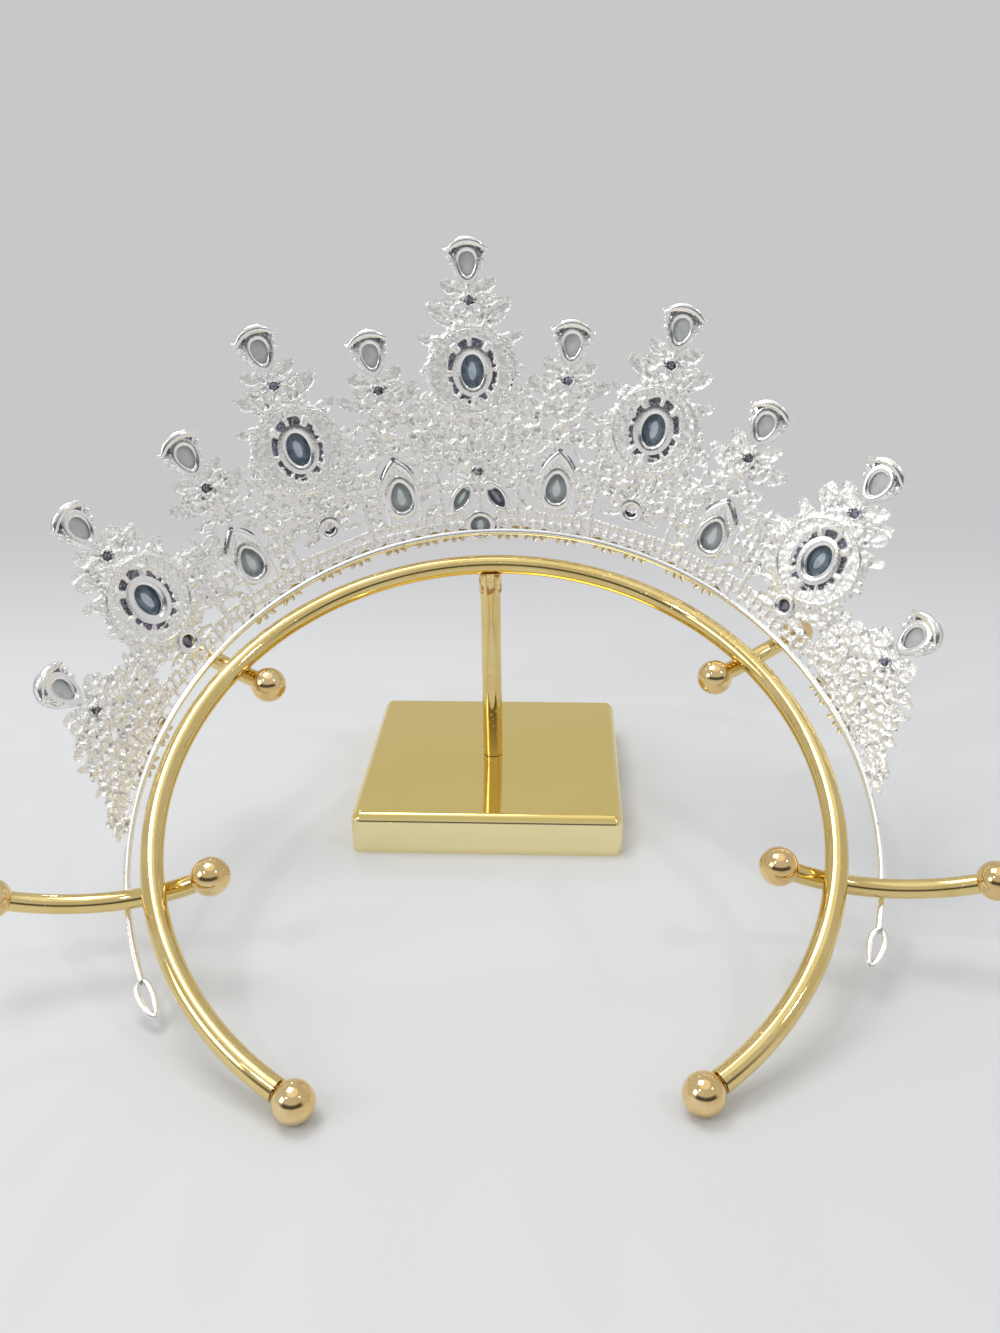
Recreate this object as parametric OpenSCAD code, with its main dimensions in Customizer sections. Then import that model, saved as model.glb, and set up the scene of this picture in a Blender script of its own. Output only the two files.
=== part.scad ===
// Stone-set diadem with eleven points, resting on a ring-shaped metal display stand.
// Millimetres. +Z is up, the front of the diadem faces -Y, and the origin lies in the
// middle of the underside of the stand's square foot.

/* [Stand foot and post] */
// Side of the square foot
base_side = 66; // [50:1:90]
// Height of the foot
base_height = 10.4; // [6:0.2:14]
// Radius of the foot's upright corners
base_corner = 2.4; // [1:0.2:6]
// Radius of the foot's top edges
base_edge = 1.6; // [0.6:0.2:3]
// How far the foot is turned on its post
base_turn = -3.6; // [-8:0.4:8]
// Diameter of the post
post_dia = 5; // [4:0.2:8]
// Diameter of the collar between post and ring
collar_dia = 5.6; // [4.6:0.2:9]
// Height of the collar below the middle of the ring tube
collar_height = 7; // [5:0.5:12]

/* [Stand ring] */
// Height of the ring tube's middle above the floor at the post
ring_height = 63; // [55:1:75]
// Radius of the ring, to the middle of its tube
ring_radius = 70.5; // [68:0.5:74]
// Diameter of the ring tube
ring_tube = 4.7; // [3.6:0.1:6]
// Half of the angle left open at the back of the ring
ring_opening = 31; // [24:1:38]
// Diameter of every end ball
ball_dia = 8; // [6.6:0.2:9]
// Free gap between pieces that touch
joint_gap = 0.12; // [0.08:0.02:0.3]

/* [Stand arms] */
// Diameter of the four arms
arm_dia = 4; // [3:0.2:4.6]
// Angle round the ring from the post to a front arm
front_arm_angle = 55; // [50:1:58]
// Length of a front arm between ball centres
front_arm_length = 25; // [24:0.5:27]
// How far a front arm sags between its balls
front_arm_sag = 0.9; // [0.5:0.1:1.4]
// Reach of a front arm inside the ring
front_arm_inner = 7.2; // [6.8:0.2:8]
// Turn of a front arm off the radius
front_arm_skew = 3; // [0:1:6]
// Angle round the ring from the post to a rear arm
rear_arm_angle = 103.5; // [101:0.5:107]
// Length of a rear arm between ball centres
rear_arm_length = 43; // [38:1:48]
// How far a rear arm sags between its balls
rear_arm_sag = 6; // [4:0.5:8]
// Reach of a rear arm inside the ring
rear_arm_inner = 11.5; // [9:0.5:14]
// Turn of a rear arm off the radius
rear_arm_skew = -8; // [-12:1:0]

/* [Diadem band] */
// How far the band wire lies outside the middle of the ring tube
band_room = 9; // [8:0.5:11.5]
// Diameter of the band wire
wire_dia = 1.6; // [1.2:0.1:2]
// Angle from the middle of the front to each end of the band
band_reach = 117; // [113:1:120]
// How far the diadem is turned on its stand
diadem_turn = 3; // [0:1:5]
// How far the diadem sits off to its right on the stand
diadem_shift = 2; // [0:0.5:3]
// Length of the eye at each end of the band
eye_length = 9.5; // [7:0.5:12]
// Width of the eye at each end of the band
eye_width = 4.4; // [4:0.2:6]

/* [Castings] */
// Lean of the castings outwards from the band's axis
flare = 39; // [36:1:44]
// Thickness of the castings
cast_thick = 1.6; // [1.2:0.1:2]
// Height of the rail along the foot of the castings
rail_height = 4.4; // [3:0.2:5]
// Height up the slope to the middle of the centre top stone
peak = 62.6; // [58:0.5:70]
// Angle from the middle of the front to the last point
end_angle = 72.5; // [71:0.5:77]
// Radius of the round halo behind each oval stone
halo_radius = 11.4; // [10:0.2:12]
// Width of the halo's outer ring
halo_band = 3.2; // [2.4:0.2:3.8]
// Width of the fine bars and scrolls
bar = 1.1; // [0.9:0.1:1.5]
// How far the wire is sunk into the castings where it is soldered
solder = 0.6; // [0.4:0.1:0.8]

/* [Stones and settings] */
// Width of a pear stone at a point's top
tip_w = 6.6; // [5.6:0.2:7.2]
// Height of a pear stone at a point's top
tip_h = 9.2; // [8:0.2:10]
// Width of an oval stone
oval_w = 7; // [6:0.2:7.6]
// Height of an oval stone
oval_h = 9.2; // [8:0.2:10]
// Width of a pear stone in the lower row
low_w = 6.6; // [5.6:0.2:7.2]
// Height of a pear stone in the lower row
low_h = 9.4; // [8:0.2:10]
// Width of a marquise stone
marquise_w = 3.4; // [2.8:0.2:4]
// Length of a marquise stone
marquise_h = 7.6; // [6.4:0.2:8.4]
// Diameter of the round stone in the middle of the lower row
round_dia = 6; // [5:0.2:6.6]
// Diameter of the small round stones under the halos
small_dia = 4.4; // [3.6:0.2:5]
// Diameter of the accent stones
accent_dia = 2.4; // [2:0.1:2.6]
// Wall of every setting
bezel = 0.8; // [0.6:0.1:1]
// Height of the settings in front of the castings
bezel_height = 1.7; // [1.3:0.1:2.2]
// Free gap between a stone and its setting
stone_gap = 0.12; // [0.08:0.02:0.2]
// Height of a stone's crown above its widest line
crown = 1.5; // [1.1:0.1:2]
// Depth of a stone behind its widest line
pavilion = 1.5; // [1.1:0.1:1.7]

/* [Hidden] */
// Points of the diadem: name, share of end_angle, share of peak, kind, halo's share of peak.
// Kind 0 is the centre, 1 a small point, 2 a large point and 3 an end point.
POINTS = [
    ["centre", 0, 1, 0, 0.61],
    ["inner_small", 0.175, 0.715, 1, 0],
    ["inner_large", 0.35, 0.84, 2, 0.462],
    ["outer_small", 0.54, 0.62, 1, 0],
    ["outer_large", 0.76, 0.655, 2, 0.312],
    ["end", 1, 0.375, 3, 0],
];
// Height of the lower row's stones as shares of peak, one for each point.
LOW_ROW = [0.01, 0.168, 0.14, 0.168, 0.1, 0];
// Lace on the seam after each point, as shares of peak up the slope: its lower edge, its
// highest dip between the two points, and its height where it joins the point's middle.
SEAM_LACE = [
    [0.19, 0.52, 0.5],
    [0.17, 0.45, 0.47],
    [0.16, 0.4, 0.42],
    [0.13, 0.33, 0.36],
    [0.13, 0.21, 0.24],
];
// Openings in the lace: place across as a share of the way to the seam, place between the
// lace's two edges as a share of its height, and radius as a share of halo_radius.
LACE_OPENINGS = [[0.72, 0.72, 0.22], [0.68, 0.3, 0.2]];

ball_r = ball_dia / 2;
tube_r = ring_tube / 2;
arm_r = arm_dia / 2;
wire_r = wire_dia / 2;
band_radius = ring_radius + band_room;
// The wire itself stops where the eye at its end begins
wire_reach = band_reach - (eye_length - 1.4 * wire_dia) / band_radius * 180 / PI;
post_top = ring_height - collar_height;
// Height left open above the collar's lips, as a share of the ring tube
collar_lip = 0.7;

// The ring leans so that its two end balls rest on the floor.
ring_end = 180 - ring_opening;
ring_tilt = asin((ring_height - ball_r) / (ring_radius * (1 + cos(ring_opening))));
ring_centre = [0, ring_radius * cos(ring_tilt), ring_height - ring_radius * sin(ring_tilt)];

// An arm is an arc that passes just under the ring. Radius of the arc, and the place
// along the arm, counted from its middle, where it meets the ring and the band.
function arc_radius(length, sag) = (length * length / 4 + sag * sag) / (2 * sag);
function ring_place(length, inner) = inner - length / 2;
function band_place(length, inner, skew) =
    ring_place(length, inner) + (band_radius - ring_radius) / cos(skew);
// Height of the arc's middle over its lowest point is its radius, so this is the centre's height.
function arc_centre(length, sag, inner) =
    sqrt(pow(arc_radius(length, sag) - tube_r - arm_r - joint_gap, 2) - pow(ring_place(length, inner), 2));

// The band rests on the front arms and is hooked under the rear ones.
cast_radius = band_radius + (cast_thick / 2 + wire_r - solder) / cos(flare);
wire_place = -(cast_radius - band_radius) * sin(flare);
rail_foot = wire_place - 0.2 * wire_dia;
rail_drop = max(0, cast_thick / 2 * sin(flare) - rail_foot * cos(flare) - wire_r);
// The shift moves each crossing along a gently sloping arm.
slope_room = 0.05 * abs(diadem_shift);
front_seat = arm_r + wire_r + rail_drop + joint_gap + slope_room;
rear_seat = arm_r + wire_r + joint_gap + slope_room;
front_level = arc_centre(front_arm_length, front_arm_sag, front_arm_inner)
    - sqrt(pow(arc_radius(front_arm_length, front_arm_sag) - front_seat, 2)
    - pow(band_place(front_arm_length, front_arm_inner, front_arm_skew), 2));
rear_level = arc_centre(rear_arm_length, rear_arm_sag, rear_arm_inner)
    - sqrt(pow(arc_radius(rear_arm_length, rear_arm_sag) + rear_seat, 2)
    - pow(band_place(rear_arm_length, rear_arm_inner, rear_arm_skew), 2));
front_back = -band_radius * cos(front_arm_angle);
rear_back = -band_radius * cos(rear_arm_angle);
band_dip = atan((front_level - rear_level) / (rear_back - front_back));
band_level = front_level + front_back * tan(band_dip);

// Settings
tip_window = 0.66;
seat_z = cast_thick / 2;
girdle_z = seat_z + 0.25 * bezel_height;

function oval_points(w, h, n) = [for (i = [0:n - 1]) [w / 2 * cos(360 * i / n), h / 2 * sin(360 * i / n)]];
// A pear with its point down
function pear_points(w, h, n) = [for (i = [0:n - 1]) let (t = 360 * i / n)
    [0.625 * w * sin(t) * pow(sin(t / 2), 0.8), -h / 2 * cos(t)]];
function marquise_points(w, h, n) = [for (i = [0:n - 1]) let (t = 360 * i / n)
    [w / 2 * pow(abs(cos(t)), 1.35) * sign(cos(t)), h / 2 * sin(t)]];
function grown(points, w, h, more) = [for (p = points) [p[0] * (w + 2 * more) / w, p[1] * (h + 2 * more) / h]];

function angle_of(row) = POINTS[row][1] * end_angle;
function tip_of(row) = POINTS[row][2] * peak;
function halo_of(row) = POINTS[row][4] * peak;
function low_of(row) = LOW_ROW[row] * peak;
// Half of the angle to the next and the last point
function seam_after(row) = row < 5 ? (angle_of(row + 1) - angle_of(row)) / 2 : 6.5;
function seam_before(row) = row > 0 ? (angle_of(row) - angle_of(row - 1)) / 2 : seam_after(0);
function seam_x(half_angle, up) = (cast_radius + up * sin(flare)) * tan(half_angle);

module ring_frame() {
    translate(ring_centre) rotate([-ring_tilt, 0, 0]) children();
}

module band_frame() {
    ring_frame() translate([-diadem_shift, 0, band_level]) rotate([-band_dip, 0, 0])
        rotate([0, 0, diadem_turn]) children();
}

// Flat frame of one casting: x along the band, y up the slope, z out of its front
module cast_frame(angle) {
    band_frame() rotate([0, 0, angle]) translate([0, -cast_radius, 0]) rotate([90 + flare, 0, 0]) children();
}

module base() {
    color("gold") rotate(base_turn) intersection() {
        linear_extrude(base_height) rounded_square(base_side, base_corner);
        rotate([90, 0, 0]) linear_extrude(base_side + 2, center = true) edge_profile();
        rotate([90, 0, 90]) linear_extrude(base_side + 2, center = true) edge_profile();
    }
}

module rounded_square(side, r) {
    square([side, side - 2 * r], center = true);
    square([side - 2 * r, side], center = true);
    for (x = [-1, 1], y = [-1, 1]) translate([x * (side / 2 - r), y * (side / 2 - r)]) circle(r, $fn = 32);
}

module edge_profile() {
    translate([-base_side / 2, 0]) square([base_side, base_height - base_edge]);
    translate([base_edge - base_side / 2, 0]) square([base_side - 2 * base_edge, base_height]);
    for (x = [-1, 1]) translate([x * (base_side / 2 - base_edge), base_height - base_edge])
        circle(base_edge, $fn = 32);
}

module post() {
    color("gold") translate([0, 0, base_height + joint_gap])
        cylinder(d = post_dia, h = post_top - base_height - 2 * joint_gap, $fn = 48);
}

module collar() {
    color("gold") difference() {
        translate([0, 0, post_top]) cylinder(d = collar_dia, h = collar_height, $fn = 48);
        ring_frame() rotate([0, 0, 180]) rotate_extrude(angle = 180, $fn = 96)
            translate([ring_radius, 0]) circle(tube_r + joint_gap, $fn = 48);
        // The collar ends in two lips that reach part of the way up the tube.
        translate([0, 0, ring_height]) cube([2 * collar_dia, 2 * collar_dia, collar_lip * ring_tube], center = true);
    }
}

module ring() {
    color("gold") difference() {
        ring_frame() rotate([0, 0, -90 - ring_end]) rotate_extrude(angle = 2 * ring_end, $fn = 96)
            translate([ring_radius, 0]) circle(tube_r, $fn = 48);
        for (side = [-1, 1]) ring_end_place(side) sphere(ball_r + joint_gap, $fn = 48);
    }
}

module ring_end_place(side) {
    ring_frame() rotate([0, 0, side * ring_end]) translate([0, -ring_radius, 0]) children();
}

module ring_ball(side) {
    color("goldenrod") ring_end_place(side) sphere(ball_r, $fn = 48);
}

module arm(side, angle, length, sag, inner, skew) {
    radius = arc_radius(length, sag);
    half = asin(length / 2 / radius);
    place = ring_place(length, inner);
    color("gold") ring_frame() rotate([0, 0, side * angle]) translate([0, -ring_radius, 0])
        rotate([0, 0, side * skew]) rotate([90, 0, -90]) translate([-place, arc_centre(length, sag, inner), 0]) {
            rotate([0, 0, -90 - half]) rotate_extrude(angle = 2 * half, $fn = 96)
                translate([radius, 0]) circle(arm_r, $fn = 32);
            for (end = [-1, 1]) rotate([0, 0, end * half]) translate([0, -radius, 0]) sphere(ball_r, $fn = 48);
        }
}

module front_arm(side) {
    arm(side, front_arm_angle, front_arm_length, front_arm_sag, front_arm_inner, front_arm_skew);
}

module rear_arm(side) {
    arm(side, rear_arm_angle, rear_arm_length, rear_arm_sag, rear_arm_inner, rear_arm_skew);
}

// One leaf that starts at the origin and points up the slope before it is turned
module leaf(length, width, turn) {
    rotate(turn) hull() {
        translate([0, 0.45 * length]) circle(width / 2, $fn = 4);
        translate([0, length / 2]) square([0.1 * bar, length], center = true);
    }
}

module leaf_pair(up, length, width, turn) {
    for (side = [-1, 1]) translate([0, up]) leaf(length, width, side * turn);
}

module hoop(r, sides) {
    difference() {
        circle(r, $fn = sides);
        circle(r - bar, $fn = sides);
    }
}

// Small drops under the rail of one casting: places across as shares of halo_radius
function drops_of(row) = row == 0 ? [-0.6, 0.6] : row == 4 ? [] : [-0.35, 0.35];

// The part of a casting between its two seams, with a lap for the solder
module wedge(before, after) {
    low = -0.1 * peak;
    high = 1.3 * peak;
    lap = 0.1 * cast_thick;
    polygon([
        [-seam_x(before, low) - lap, low], [seam_x(after, low) + lap, low],
        [seam_x(after, high) + lap, high], [-seam_x(before, high) - lap, high],
    ]);
}

module rail(drops) {
    translate([-band_radius / 2, rail_foot]) square([band_radius, rail_height]);
    for (x = drops) translate([x * halo_radius, rail_foot]) circle(0.13 * halo_radius, $fn = 6);
}

// Pierced lace from the middle of a point, or from the flank of its halo, to one of its seams
module lace(row, seam, side) {
    low = SEAM_LACE[seam][0] * peak;
    high = SEAM_LACE[seam][1] * peak;
    join = SEAM_LACE[seam][2] * peak;
    across = side > 0 ? seam_after(row) : seam_before(row);
    edge = 1.1 * seam_x(across, high);
    has_halo = POINTS[row][3] == 0 || POINTS[row][3] == 2;
    start = has_halo ? 0.52 * edge : 0;
    difference() {
        union() {
            polygon([
                [side * start, low + bar], [side * 0.55 * edge, low - bar], [side * edge, low + bar],
                [side * edge, high], [side * 0.62 * edge, high - bar], [side * start, join - (has_halo ? 3 * bar : 0)],
            ]);
            translate([side * seam_x(across, low), low / 2]) square([2 * bar, low + 4 * bar], center = true);
        }
        for (o = has_halo ? [] : LACE_OPENINGS)
            translate([side * o[0] * seam_x(across, low + o[1] * (high - low)), low + o[1] * (high - low)])
                circle(o[2] * halo_radius, $fn = 7);
    }
}

// Top of a point: cap and two horns round the setting of its pear stone
module cap(up) {
    translate([0, up + 0.17 * tip_h]) circle(tip_w / 2 + bezel + 0.1 * tip_h / 2, $fn = 14);
    for (side = [-1, 1]) translate([0, up]) polygon([
        [side * 0.4 * tip_w, 0.1 * tip_h], [side * 0.84 * tip_w, 0.52 * tip_h], [side * 0.4 * tip_w, 0.42 * tip_h],
    ]);
}

// Neck under the cap, with its leaves, down to what carries it
module neck(up, foot) {
    polygon([
        [-0.3 * tip_w, up - 0.4 * tip_h], [-0.4 * tip_w, up - 0.95 * tip_h], [-0.9 * tip_w, foot],
        [0.9 * tip_w, foot], [0.4 * tip_w, up - 0.95 * tip_h], [0.3 * tip_w, up - 0.4 * tip_h],
    ]);
    leaf_pair(up - 0.78 * tip_h, 0.84 * tip_h, 0.38 * tip_h, 60);
    leaf_pair(up - 1.3 * tip_h, 1.08 * tip_h, 0.42 * tip_h, 68);
}

module halo(up) {
    translate([0, up]) {
        circle(halo_radius, $fn = 20);
        for (side = [-1, 1], turn = [48, 88]) rotate(side * turn)
            translate([0, halo_radius]) circle(0.1 * halo_radius, $fn = 5);
    }
}

// Eight slots between the halo's outer ring and the collar of its oval stone. The inner
// radius of a slot follows the oval, so it is larger above and below the stone.
SLOTS = [for (i = [0:7]) 45 * i + 22.5];
slot_outer = halo_radius - halo_band;
collar_w = oval_w / 2 + bezel + 2 * stone_gap + 0.5 * bar;
function slot_inner(turn) = collar_w * (abs(cos(turn)) > cos(45) ? oval_h / oval_w : 1.05);

module halo_slots(up) {
    translate([0, up]) for (turn = SLOTS) rotate(turn) polygon([
        for (t = [-15, 0, 15]) [slot_outer * sin(t), slot_outer * cos(t)],
        for (t = [13, -13]) [slot_inner(turn) * sin(t), slot_inner(turn) * cos(t)],
    ]);
}

module fan(foot, length, spread, count) {
    for (i = [0:count - 1]) translate([0, foot])
        leaf(length * (1 + 0.16 * pow(2 * i / (count - 1) - 1, 2)), 0.16 * length + bar, spread * (2 * i / (count - 1) - 1));
}

// Pointed arch round a pear of the lower row
module arch(up) {
    half = low_w / 2 + bezel + 1.5 * bar;
    function ogive(w, rise) = [
        [-w, 0], [w, 0], [w, 0.42 * rise], [0.72 * w, 0.72 * rise], [0.36 * w, 0.9 * rise], [0, rise],
        [-0.36 * w, 0.9 * rise], [-0.72 * w, 0.72 * rise], [-w, 0.42 * rise],
    ];
    difference() {
        polygon(ogive(half, up + 0.92 * low_h));
        polygon(ogive(half - bar, up + 0.92 * low_h - 1.6 * bar));
    }
}

module point_metal(row) {
    kind = POINTS[row][3];
    up = tip_of(row);
    low = low_of(row);
    cap(up);
    if (kind == 0 || kind == 2) {
        middle = halo_of(row);
        neck(up, middle + halo_radius - halo_band / 2);
        halo(middle);
        fan_foot = low + (kind == 0 ? 0.24 * peak : 0.03 * peak);
        fan_length = middle - halo_radius + 0.6 * halo_band - fan_foot;
        if (fan_length > 3 * bar) fan(fan_foot, 1.12 * fan_length, kind == 0 ? 60 : 64, kind == 0 ? 7 : 5);
        translate([-bar / 2, 0]) square([bar, fan_foot + bar]);
        if (kind == 0) {
            leaf_pair(low + 0.13 * peak, 0.8 * marquise_h, 0.3 * marquise_h, 58);
            translate([0, low + 0.215 * peak]) circle(0.5 * accent_dia + bar, $fn = 8);
        } else {
            leaf_pair(low, 2.1 * small_dia, 0.7 * small_dia, 62);
            leaf_pair(low, 1.7 * small_dia, 0.5 * small_dia, 105);
        }
    }
    if (kind == 1) {
        foot = 0.4 * peak;
        neck(up, foot + 0.25 * (up - foot));
        polygon([[-0.5 * tip_w, foot], [-0.9 * tip_w, foot + 0.26 * (up - foot)],
            [0.9 * tip_w, foot + 0.26 * (up - foot)], [0.5 * tip_w, foot]]);
        translate([0, foot - 0.025 * peak]) hoop(0.28 * halo_radius, 10);
        leaf_pair(0.35 * peak, 0.13 * peak, 0.05 * peak, 75);
        arch(low);
    }
    if (kind == 3) {
        neck(up, 0.6 * up);
        polygon([
            [-2 * tip_w, 0.52 * up], [-1.1 * tip_w, 0.72 * up], [-0.4 * tip_w, 0.74 * up], [0.6 * tip_w, 0.78 * up],
            [1.3 * tip_w, 0.66 * up], [1.6 * tip_w, 0.45 * up], [1.6 * tip_w, 0], [-1 * tip_w, 0],
            [-1.15 * tip_w, 0.32 * up], [-2 * tip_w, 0.4 * up],
        ]);
    }
}

module point_gaps(row) {
    kind = POINTS[row][3];
    up = tip_of(row);
    if (kind == 0 || kind == 2) halo_slots(halo_of(row));
    if (kind == 3) for (p = [[-1.45, 0.5], [-0.3, 0.5], [0.75, 0.52], [0.1, 0.24]])
        translate([p[0] * tip_w, p[1] * up]) circle(0.16 * halo_radius, $fn = 7);
}

// Stones of one point: outline, x, height up the slope and turn
function stones_of(row) = concat(
    [[pear_points(tip_w, tip_h, 10), tip_w, tip_h, 0, tip_of(row), 0]],
    POINTS[row][3] == 0 || POINTS[row][3] == 2
        ? [[oval_points(oval_w, oval_h, 12), oval_w, oval_h, 0, halo_of(row), 0]] : [],
    POINTS[row][3] == 1 ? [[pear_points(low_w, low_h, 10), low_w, low_h, 0, low_of(row), 180]] : [],
    POINTS[row][3] == 2 ? [[oval_points(small_dia, small_dia, 8), small_dia, small_dia, 0, low_of(row), 0]] : [],
    POINTS[row][3] == 0 ? [
        [oval_points(round_dia, round_dia, 12), round_dia, round_dia, 0, low_of(row), 0],
        for (side = [-1, 1]) [marquise_points(marquise_w, marquise_h, 10), marquise_w, marquise_h,
            side * 0.56 * marquise_h, 0.125 * peak, side * 34],
    ] : []
);

module at_stone(s) {
    translate([s[3], s[4], 0]) rotate(s[5]) children();
}

module setting(s) {
    at_stone(s) linear_extrude(seat_z + bezel_height) polygon(grown(s[0], s[1], s[2], stone_gap + bezel));
}

module setting_cut(s) {
    at_stone(s) {
        linear_extrude(2 * (seat_z + bezel_height)) polygon(grown(s[0], s[1], s[2], stone_gap));
        translate([0, 0, -cast_thick]) linear_extrude(2 * cast_thick)
            polygon([for (p = s[0]) p * tip_window]);
    }
}

module casting(row) {
    difference() {
        union() {
            linear_extrude(cast_thick, center = true) intersection() {
                wedge(seam_before(row), seam_after(row));
                difference() {
                    union() {
                        rail(drops_of(row));
                        point_metal(row);
                        if (row < 5) lace(row, row, 1);
                        lace(row, max(row - 1, 0), -1);
                    }
                    point_gaps(row);
                }
            }
            for (s = stones_of(row)) setting(s);
        }
        for (s = stones_of(row)) setting_cut(s);
    }
}

// Low leafy end of the castings behind the last point
module tail() {
    linear_extrude(cast_thick, center = true) intersection() {
        wedge(seam_after(5), seam_after(5));
        polygon([
            [-2 * tip_w, rail_foot], [-2 * tip_w, 0.5 * tip_of(5)], [-1.1 * tip_w, 0.4 * tip_of(5)],
            [-0.95 * tip_w, 0.26 * tip_of(5)], [-0.6 * tip_w, 0.22 * tip_of(5)], [-0.3 * tip_w, 0.1 * tip_of(5)],
            [0.5 * tip_w, 0.06 * tip_of(5)], [0.5 * tip_w, rail_foot],
        ]);
    }
}

// Both of a pair: on the right the shape is the mirror image of the left
module both(row) {
    cast_frame(angle_of(row)) children();
    if (row > 0) cast_frame(-angle_of(row)) mirror([1, 0, 0]) children();
}

module band_wire() {
    band_frame() {
        rotate([0, 0, -90 - wire_reach]) rotate_extrude(angle = 2 * wire_reach, $fn = 72)
            translate([band_radius, 0]) circle(wire_r, $fn = 6);
        for (side = [-1, 1]) rotate([0, 0, side * band_reach]) translate([0, -band_radius, 0])
            rotate([0, 0, side * 90]) eye();
    }
}

// Long loop bent from the end of the wire
module eye() {
    translate([0, 0, -wire_r]) linear_extrude(wire_dia) difference() {
        polygon(eye_points(eye_length, eye_width));
        polygon(eye_points(eye_length - 2.4 * wire_dia, eye_width - 2 * wire_dia));
    }
}

function eye_points(length, width) = [
    for (t = [0:30:330]) [
        width / 2 * sin(t) * (0.75 - 0.25 * cos(t)),
        eye_length / 2 - length / 2 * cos(t) - wire_r,
    ]
];

module silver_frame() {
    color("silver") {
        for (row = [0:5]) both(row) casting(row);
        for (side = [-1, 1]) cast_frame(side * (end_angle + 2 * seam_after(5))) mirror([side < 0 ? 1 : 0, 0, 0]) tail();
        band_wire();
    }
}

// Closed solid through several sizes of one outline: share of the outline, height
module facets(outline, place, turn, levels) {
    n = len(outline);
    top = len(levels) - 1;
    translate([place[0], place[1], 0]) rotate(turn) polyhedron(
        points = [for (level = levels, p = outline) [p[0] * level[0], p[1] * level[0], level[1]]],
        faces = concat(
            [[for (i = [0:n - 1]) i]],
            [for (k = [0:top - 1], i = [0:n - 1])
                [k * n + i, k * n + n + i, k * n + n + (i + 1) % n, k * n + (i + 1) % n]],
            [[for (i = [n - 1:-1:0]) top * n + i]]
        ));
}

// A cut stone: flat back, widest line and table, with a ring of facets between each two
module cut_stone(s) {
    facets(s[0], [s[3], s[4]], s[5],
        [[tip_window - 0.04, joint_gap], [1, joint_gap + pavilion], [0.62, joint_gap + pavilion + crown]]);
}

module stone(row, number, side) {
    color("lightsteelblue") cast_frame(side * angle_of(row)) mirror([side < 0 ? 1 : 0, 0, 0])
        cut_stone(stones_of(row)[number]);
}

// Small round stones on the front of the castings: x and height up the slope. One sits on
// the neck under each point's top stone, and one over every slot of a halo.
function accents_of(row) = concat(
    POINTS[row][3] == 3 ? [] : [[0, tip_of(row) - 0.88 * tip_h]],
    halo_of(row) == 0 ? [] : [for (turn = SLOTS, r = [(slot_outer + slot_inner(turn)) / 2])
        [r * sin(turn), halo_of(row) + r * cos(turn)]]
);

module accent_stones() {
    outline = oval_points(accent_dia, accent_dia, 8);
    back = seat_z + joint_gap;
    color("lightsteelblue") for (row = [0:5]) both(row) for (p = accents_of(row))
        facets(outline, p, 0, [[1, back], [0.6, back + 0.4 * accent_dia]]);
}

base();
post();
collar();
ring();
ring_ball(1);  // ring_ball_left
ring_ball(-1);  // ring_ball_right
front_arm(1);  // front_arm_left
front_arm(-1);  // front_arm_right
rear_arm(1);  // rear_arm_left
rear_arm(-1);  // rear_arm_right
silver_frame();
stone(0, 0, 1);  // tip_stone_centre
stone(0, 1, 1);  // oval_stone_centre
stone(0, 2, 1);  // round_stone
stone(0, 4, 1);  // marquise_left
stone(0, 3, 1);  // marquise_right
stone(1, 0, 1);  // tip_stone_inner_small_left
stone(1, 0, -1);  // tip_stone_inner_small_right
stone(2, 0, 1);  // tip_stone_inner_large_left
stone(2, 0, -1);  // tip_stone_inner_large_right
stone(3, 0, 1);  // tip_stone_outer_small_left
stone(3, 0, -1);  // tip_stone_outer_small_right
stone(4, 0, 1);  // tip_stone_outer_large_left
stone(4, 0, -1);  // tip_stone_outer_large_right
stone(5, 0, 1);  // tip_stone_end_left
stone(5, 0, -1);  // tip_stone_end_right
stone(2, 1, 1);  // oval_stone_inner_left
stone(2, 1, -1);  // oval_stone_inner_right
stone(4, 1, 1);  // oval_stone_outer_left
stone(4, 1, -1);  // oval_stone_outer_right
stone(1, 1, 1);  // low_pear_inner_left
stone(1, 1, -1);  // low_pear_inner_right
stone(3, 1, 1);  // low_pear_outer_left
stone(3, 1, -1);  // low_pear_outer_right
stone(2, 2, 1);  // small_stone_inner_left
stone(2, 2, -1);  // small_stone_inner_right
stone(4, 2, 1);  // small_stone_outer_left
stone(4, 2, -1);  // small_stone_outer_right
accent_stones();
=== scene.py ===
import math
import random
from collections import namedtuple

import bmesh
import bpy
from mathutils import Matrix, Vector, noise


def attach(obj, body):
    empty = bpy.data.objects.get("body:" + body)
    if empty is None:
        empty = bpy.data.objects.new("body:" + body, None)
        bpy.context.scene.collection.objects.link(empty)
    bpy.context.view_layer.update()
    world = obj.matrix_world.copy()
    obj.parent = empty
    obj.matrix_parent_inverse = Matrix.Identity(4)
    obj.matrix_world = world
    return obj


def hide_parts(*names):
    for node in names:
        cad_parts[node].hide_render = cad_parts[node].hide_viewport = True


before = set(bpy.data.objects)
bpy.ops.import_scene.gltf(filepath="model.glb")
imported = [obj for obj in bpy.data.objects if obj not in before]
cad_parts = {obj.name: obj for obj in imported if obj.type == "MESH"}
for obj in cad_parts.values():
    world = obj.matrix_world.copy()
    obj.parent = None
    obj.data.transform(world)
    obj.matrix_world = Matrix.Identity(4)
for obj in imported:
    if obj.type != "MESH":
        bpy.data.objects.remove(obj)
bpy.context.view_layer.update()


# The slab it stands on, the soft daylight round it and the place it is seen from. None of
# this is part of the object: a wide pale floor, a bright sky with a darker low band for the
# metal to mirror, two soft lamps and a few small ones that make the cut stones sparkle.

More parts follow.
